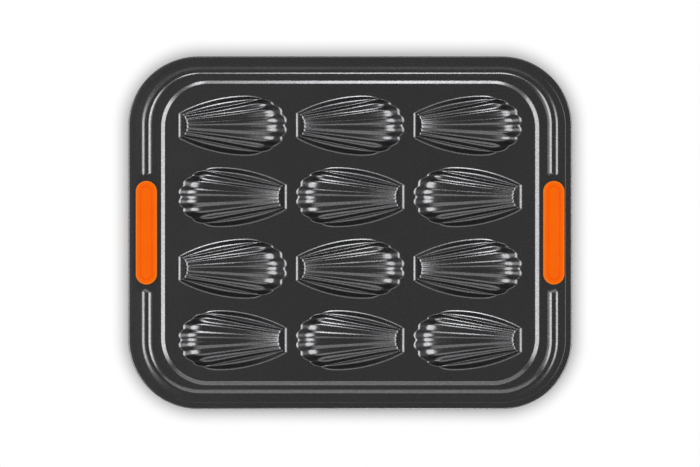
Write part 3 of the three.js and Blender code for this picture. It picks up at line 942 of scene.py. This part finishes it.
def grip_mesh(name, side, rim, grip):
    """A grip lofted through its section and closed at the top and the underside."""
    points = []
    edge = []
    faces = []
    loops = []
    for inset, level in grip_profile(rim, grip):
        ring = stadium(grip, inset)
        loops.append(range(len(points), len(points) + len(ring)))
        points.extend((x + side * grip.centre, y, level) for x, y in ring)
        # How far into the rounded edge of a cap a ring lies, where the silicone gets its painted
        # highlight
        edge.extend([max(0, 1 - inset / grip.edge)] * len(ring))
    count = len(loops[0])
    for upper, lower in zip(loops, loops[1:]):
        for i in range(count):
            j = (i + 1) % count
            faces.append((lower[i], lower[j], upper[j], upper[i]))
    faces.append(tuple(loops[0]))
    faces.append(tuple(reversed(loops[-1])))
    made = bpy.data.meshes.new(name)
    made.from_pydata(points, [], faces)
    made.attributes.new("edge", "FLOAT", "POINT").data.foreach_set("value", edge)
    return made


# Pieces


def new_piece(name, mesh, material, node, sharp_angle):
    """Puts a finished mesh into the scene in the place of its CAD node."""
    if mesh.validate():
        raise RuntimeError(f"{name} came out with broken faces")
    mesh.update()
    mesh.shade_smooth()
    mesh.set_sharp_from_angle(angle=sharp_angle)
    mesh.materials.append(material)
    piece = bpy.data.objects.new(name, mesh)
    bpy.context.scene.collection.objects.link(piece)
    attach(piece, "root")
    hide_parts(node)


class TRAY_OT_add_sheet(bpy.types.Operator):
    """Presses the steel sheet: its rim, its sunk deck and all its cups"""

    bl_idname = "tray.add_sheet"
    bl_label = "Add tray sheet"

    def execute(self, context):
        cup = context.scene.tray_cup
        rim = context.scene.tray_rim
        sheet = Pressing(rim.sheet)
        deck = add_rim(sheet, rim, context.scene.tray_grip)
        plan, depth, faces, outline = cup_template(cup)
        deck_top = rim.rim_top - rim.deck_drop
        holes = []
        for row in range(cup.rows):
            turn = 1 if row % 2 == 0 else -1
            y = ((cup.rows - 1) / 2 - row) * (cup.width + cup.row_gap)
            for column in range(cup.columns):
                x = (column - (cup.columns - 1) / 2) * (cup_length(cup) + cup.column_gap)
                along = x + turn * (plan[:, 0] - cup_length(cup) / 2)
                across = y + turn * plan[:, 1]
                numbers = sheet.corners(np.column_stack([along, across, deck_top - depth]))
                sheet.faces.extend(tuple(numbers[i] for i in face) for face in faces)
                holes.append([numbers[i] for i in outline])
        sheet.fill(deck, holes)
        mesh = sheet.mesh("tray_sheet_fine")
        material = baked_coat(context.scene.tray_finish)
        new_piece("pressed_tray_sheet", mesh, material, "tray_sheet", SHEET_SHARP)
        return {"FINISHED"}


class TRAY_OT_add_grips(bpy.types.Operator):
    """Moulds the two soft grips in the slots of the short rims"""

    bl_idname = "tray.add_grips"
    bl_label = "Add grips"

    def execute(self, context):
        rim = context.scene.tray_rim
        material = moulded_silicone(context.scene.tray_finish)
        for name, side in (("left", -1), ("right", 1)):
            mesh = grip_mesh(f"grip_{name}_fine", side, rim, context.scene.tray_grip)
            new_piece(f"soft_grip_{name}", mesh, material, f"grip_{name}", GRIP_SHARP)
        return {"FINISHED"}


# Stage, in metres. A radiance of 1 is white

PHOTO_WIDTH = 583.5 * MM
CAMERA_DISTANCE = 2.1
CAMERA_X = -0.08 * MM
CAMERA_Y = -0.67 * MM
FLOOR_REACH = 12.0
WHITE_FROM = -2 * MM  # where the floor begins to run out into white, from the edge of the tray
WHITE_AT = 17 * MM  # where it is white
SIDE_AWAY = 0.8
SIDE_Y = -0.15
SIDE_WIDTH = 1.5
BOARD_TOP = 0.15  # of the low boards, which the side softboxes stand on
BOARD_SHARE = 0.3  # of a softbox's radiance that its low board has
# What the coat mirrors of the tent, added up: from one height to another, from one level to another
TENT_STEPS = ((0.0, 0.09, 0.8, 0.1), (0.22, 0.36, 0.0, 0.165))


def add_softbox(name, place, look_at, width, height, radiance, even, even_up=1.0):
    """A flat lamp, turned towards a point, that is there for the reflections in the coat alone.

    Its radiance is even over a share of its width, and over a share of its height from below, and
    falls off softly towards both ends and the top.
    """
    data = bpy.data.lights.new(name, "AREA")
    data.shape = "RECTANGLE"
    data.size = width
    data.size_y = height
    data.energy = radiance * width * height * math.pi
    data.use_nodes = True
    tree = data.node_tree
    tree.nodes.clear()
    on_lamp = add_node(tree, "ShaderNodeNewGeometry").outputs["Parametric"]
    x, y, _ = add_node(tree, "ShaderNodeSeparateXYZ", {"Vector": on_lamp}).outputs
    centred = add_node(tree, "ShaderNodeMath", {0: x, 1: 0.5}, operation="SUBTRACT")
    off_centre = add_node(tree, "ShaderNodeMath", {0: centred}, operation="ABSOLUTE")
    # The fall ends a little above the top, so that a lamp that is even all the way up has one too
    soft, fade = (
        add_node(
            tree, "ShaderNodeMapRange",
            {"Value": at, "From Min": start, "From Max": end, "To Min": 1.0, "To Max": 0.0},
            interpolation_type="SMOOTHSTEP")
        for at, start, end in ((off_centre, even / 2, 0.5), (y, even_up, 1.001)))
    strength = add_node(tree, "ShaderNodeMath", {0: soft, 1: fade}, operation="MULTIPLY")
    glow = add_node(tree, "ShaderNodeEmission", {"Color": WHITE, "Strength": strength})
    add_node(tree, "ShaderNodeOutputLight", {"Surface": glow})
    lamp = bpy.data.objects.new(name, data)
    bpy.context.scene.collection.objects.link(lamp)
    lamp.location = place
    lamp.visible_diffuse = False
    towards = Vector(look_at) - Vector(place)
    lamp.rotation_euler = towards.to_track_quat("-Z", "Y").to_euler()


def add_side_softbox(name, side, foot, top, radiance, even, even_up=1.0):
    """An upright lamp beside a short end of the tray."""
    middle = (foot + top) / 2
    add_softbox(
        name, (side * SIDE_AWAY, SIDE_Y, middle), (0, SIDE_Y, middle), SIDE_WIDTH, top - foot,
        radiance, even, even_up)


def add_floor(rim):
    """A wide matt floor that takes the tray's soft shadow and runs out into white near it."""
    mesh = bpy.data.meshes.new("studio_floor")
    turns = ((-1, -1), (1, -1), (1, 1), (-1, 1))
    corners = [(x * FLOOR_REACH, y * FLOOR_REACH, 0) for x, y in turns]
    mesh.from_pydata(corners, [], [(0, 1, 2, 3)])
    material, tree = new_material("matt_white_studio_floor")
    place = add_node(tree, "ShaderNodeTexCoord").outputs["Object"]
    mirrored = add_node(tree, "ShaderNodeVectorMath", {0: place}, operation="ABSOLUTE")
    square = (rim.half_length - rim.corner, rim.half_width - rim.corner, 0)
    beyond = add_node(tree, "ShaderNodeVectorMath", {0: mirrored, 1: square}, operation="SUBTRACT")
    outside = add_node(tree, "ShaderNodeVectorMath", {0: beyond, 1: (0, 0, 0)}, operation="MAXIMUM")
    away = add_node(tree, "ShaderNodeVectorMath", {0: outside}, operation="LENGTH")
    run_out = add_node(
        tree, "ShaderNodeMapRange",
        {"Value": away, "From Min": rim.corner + WHITE_FROM, "From Max": rim.corner + WHITE_AT},
        interpolation_type="SMOOTHSTEP")
    path = add_node(tree, "ShaderNodeLightPath").outputs
    seen = add_node(
        tree, "ShaderNodeMath", {0: path["Is Camera Ray"], 1: path["Is Glossy Ray"]},
        operation="MAXIMUM")
    white = add_node(tree, "ShaderNodeMath", {0: run_out, 1: seen}, operation="MULTIPLY")
    matt = add_node(tree, "ShaderNodeBsdfDiffuse", {"Color": linear("#e1e1e1")})
    plain = add_node(tree, "ShaderNodeEmission", {"Color": WHITE, "Strength": 1.0})
    both = add_node(tree, "ShaderNodeMixShader", {"Fac": white, 1: matt, 2: plain})
    add_node(tree, "ShaderNodeOutputMaterial", {"Surface": both})
    mesh.materials.append(material)
    floor = bpy.data.objects.new("studio_floor", mesh)
    bpy.context.scene.collection.objects.link(floor)


def add_world():
    """A white tent of even light.

    The coat mirrors it darker: pale at the horizon, darkest just above it and lighter again higher
    up. The heights are sines of the elevation.
    """
    world = bpy.data.worlds.new("studio_tent")
    bpy.context.scene.world = world
    world.use_nodes = True
    world.cycles.sampling_method = "NONE"
    tree = world.node_tree
    tree.nodes.clear()
    direction = add_node(tree, "ShaderNodeTexCoord").outputs["Generated"]
    height = add_node(tree, "ShaderNodeSeparateXYZ", {"Vector": direction}).outputs["Z"]
    horizon, above = (
        add_node(
            tree, "ShaderNodeMapRange",
            {"Value": height, "From Min": low, "From Max": high, "To Min": first, "To Max": last},
            interpolation_type="SMOOTHSTEP")
        for low, high, first, last in TENT_STEPS)
    mirrored = add_node(tree, "ShaderNodeMath", {0: horizon, 1: above}, operation="ADD")
    gloss = add_node(tree, "ShaderNodeLightPath").outputs["Is Glossy Ray"]
    level = add_node(
        tree, "ShaderNodeMix", {"Factor": gloss, "A": 1.0, "B": mirrored}, data_type="FLOAT")
    back = add_node(tree, "ShaderNodeBackground", {"Color": WHITE, "Strength": level})
    add_node(tree, "ShaderNodeOutputWorld", {"Surface": back})


class TRAY_OT_add_stage(bpy.types.Operator):
    """Sets up the floor, the lamps and a camera straight above the tray"""

    bl_idname = "tray.add_stage"
    bl_label = "Add studio"

    def execute(self, context):
        add_floor(context.scene.tray_rim)
        add_world()
        for name, side, top, radiance in (("left", -1, 1.28, 8.8), ("right", 1, 1.25, 9.6)):
            add_side_softbox(
                f"softbox_{name}", side, BOARD_TOP, top, radiance, even=0.35, even_up=0.5)
            add_side_softbox(
                f"low_board_{name}", side, 0, BOARD_TOP, BOARD_SHARE * radiance, even=0.5)
            add_softbox(
                f"corner_fill_{name}", (side * 0.7, -0.8, 0.5), look_at=(0, 0, 0.5),
                width=0.9, height=0.8, radiance=0.9, even=0.3)
        add_softbox(
            "front_fill", (0, -0.92, 0.35), look_at=(0, 0, 0.35),
            width=1.5, height=0.52, radiance=4.3, even=0.5, even_up=0.6)
        add_softbox(
            "front_strip", (0.065, -0.9, 0.35), look_at=(0.065, 0, 0.35),
            width=0.56, height=0.52, radiance=16.0, even=0.0, even_up=0.6)
        add_softbox(
            "back_reflector", (0, 0.8, 0.79), look_at=(0, 0, 0.79),
            width=1.8, height=1.1, radiance=1.95, even=0.7)
        add_softbox(
            "left_tent", (-1.25, 0, 2.4), look_at=(-0.6, 0, 0.2),
            width=2.0, height=0.9, radiance=1.6, even=0.6)
        data = bpy.data.cameras.new("photo_camera")
        camera = bpy.data.objects.new("photo_camera", data)
        context.scene.collection.objects.link(camera)
        data.lens = data.sensor_width * CAMERA_DISTANCE / PHOTO_WIDTH
        camera.location = (CAMERA_X, CAMERA_Y, context.scene.tray_rim.rim_top + CAMERA_DISTANCE)
        context.scene.camera = camera
        context.scene.view_settings.view_transform = "Standard"
        return {"FINISHED"}


class TRAY_PT_builder(bpy.types.Panel):
    """The sizes and colours of the tray and the buttons that build it"""

    bl_label = "Shell cake tray"
    bl_space_type = "VIEW_3D"
    bl_region_type = "UI"
    bl_category = "Tray"

    def draw(self, context):
        for group in GROUPS:
            values = getattr(context.scene, group)
            box = self.layout.box()
            for name in values.bl_rna.properties.keys():
                if name not in {"rna_type", "name"}:
                    box.prop(values, name)
        for step in STEPS:
            self.layout.operator(step.bl_idname)


STEPS = (TRAY_OT_add_sheet, TRAY_OT_add_grips, TRAY_OT_add_stage)
GROUPS = {
    "tray_cup": CupSizes, "tray_rim": RimSizes, "tray_grip": GripSizes, "tray_finish": TrayFinish}


def register():
    for made in (*GROUPS.values(), *STEPS, TRAY_PT_builder):
        bpy.utils.register_class(made)
    for name, group in GROUPS.items():
        setattr(bpy.types.Scene, name, PointerProperty(type=group))


def unregister():
    for name in GROUPS:
        delattr(bpy.types.Scene, name)
    for made in reversed((*GROUPS.values(), *STEPS, TRAY_PT_builder)):
        bpy.utils.unregister_class(made)


def main():
    register()
    bpy.ops.tray.add_sheet()
    bpy.ops.tray.add_grips()
    bpy.ops.tray.add_stage()


if __name__ == "__main__":
    main()
